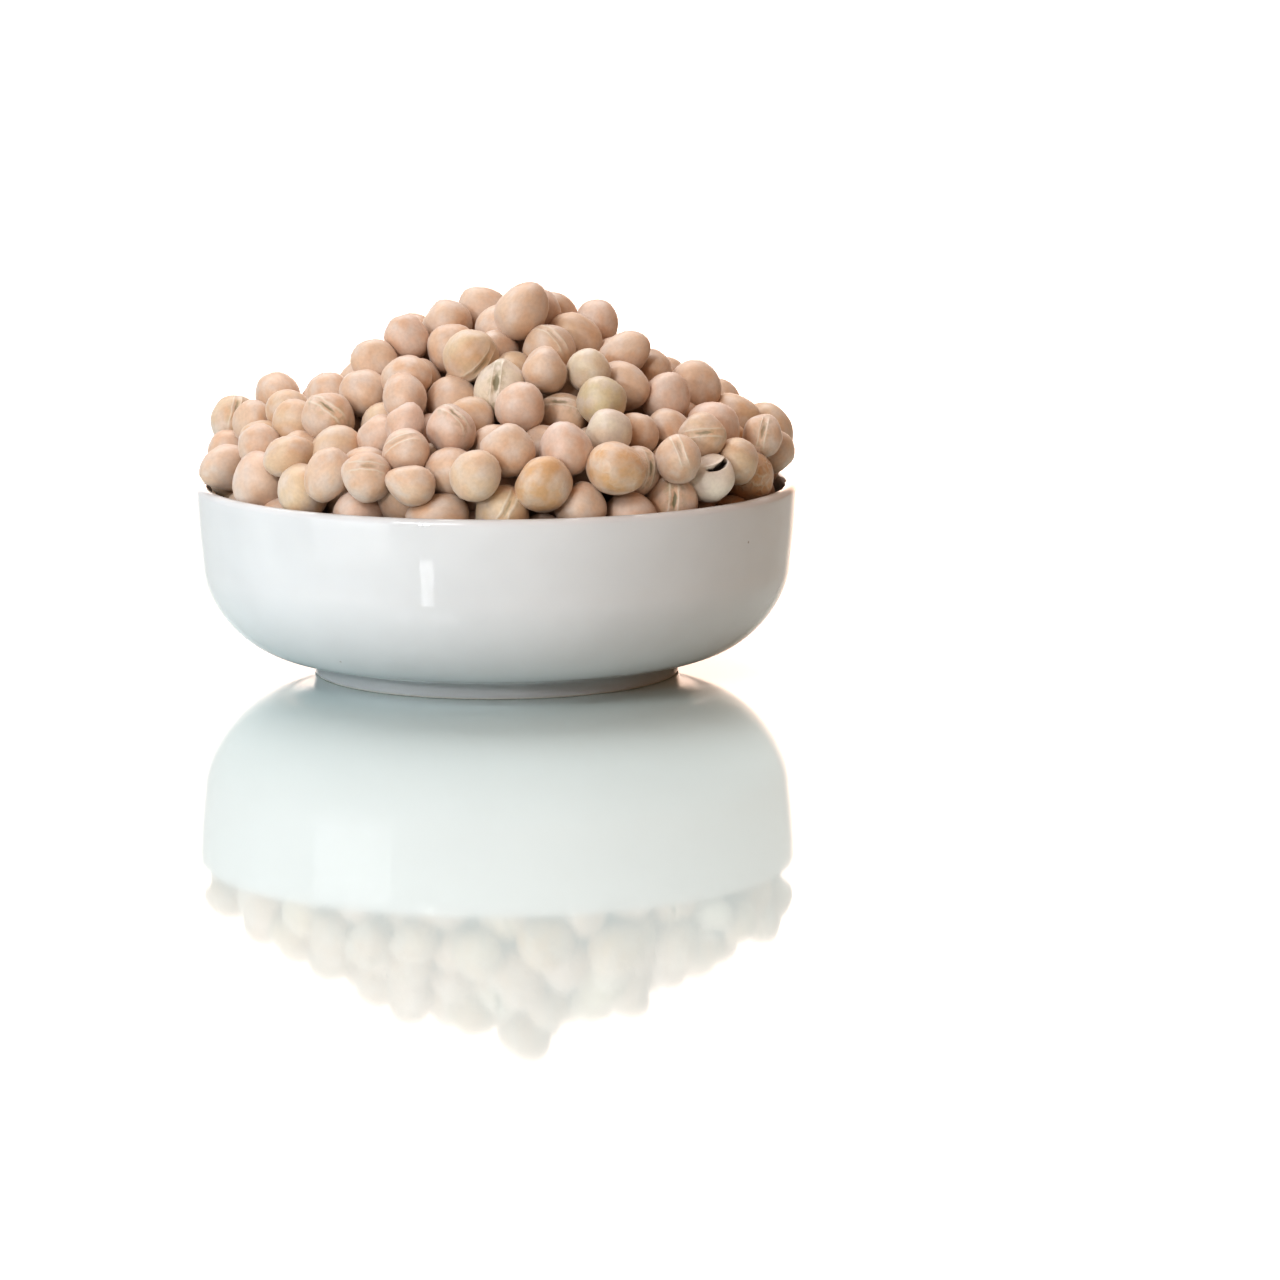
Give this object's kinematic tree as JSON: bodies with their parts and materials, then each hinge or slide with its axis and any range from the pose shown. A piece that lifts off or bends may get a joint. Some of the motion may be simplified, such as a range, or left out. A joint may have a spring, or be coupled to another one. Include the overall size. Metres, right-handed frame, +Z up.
{
  "type": "bowl of dried peas",
  "caption": "Small round white porcelain bowl on a foot ring, heaped well above its rim with whole dried peas.",
  "frame": {"origin": "middle of the foot ring, on the table", "axes": "+Z up along the bowl's axis; -Y is the side that faces the camera in the picture, +X is to its right"},
  "size_m": [0.1, 0.1, 0.065],
  "materials": {
    "porcelain": "white porcelain with a clear, glossy glaze",
    "dried_pea": "dry, wrinkled seed coat, pale beige and nearly matt"
  },
  "bodies": {
    "root": {"bowl": "porcelain", "pea_heap": "dried_pea"}
  },
  "joints": []
}
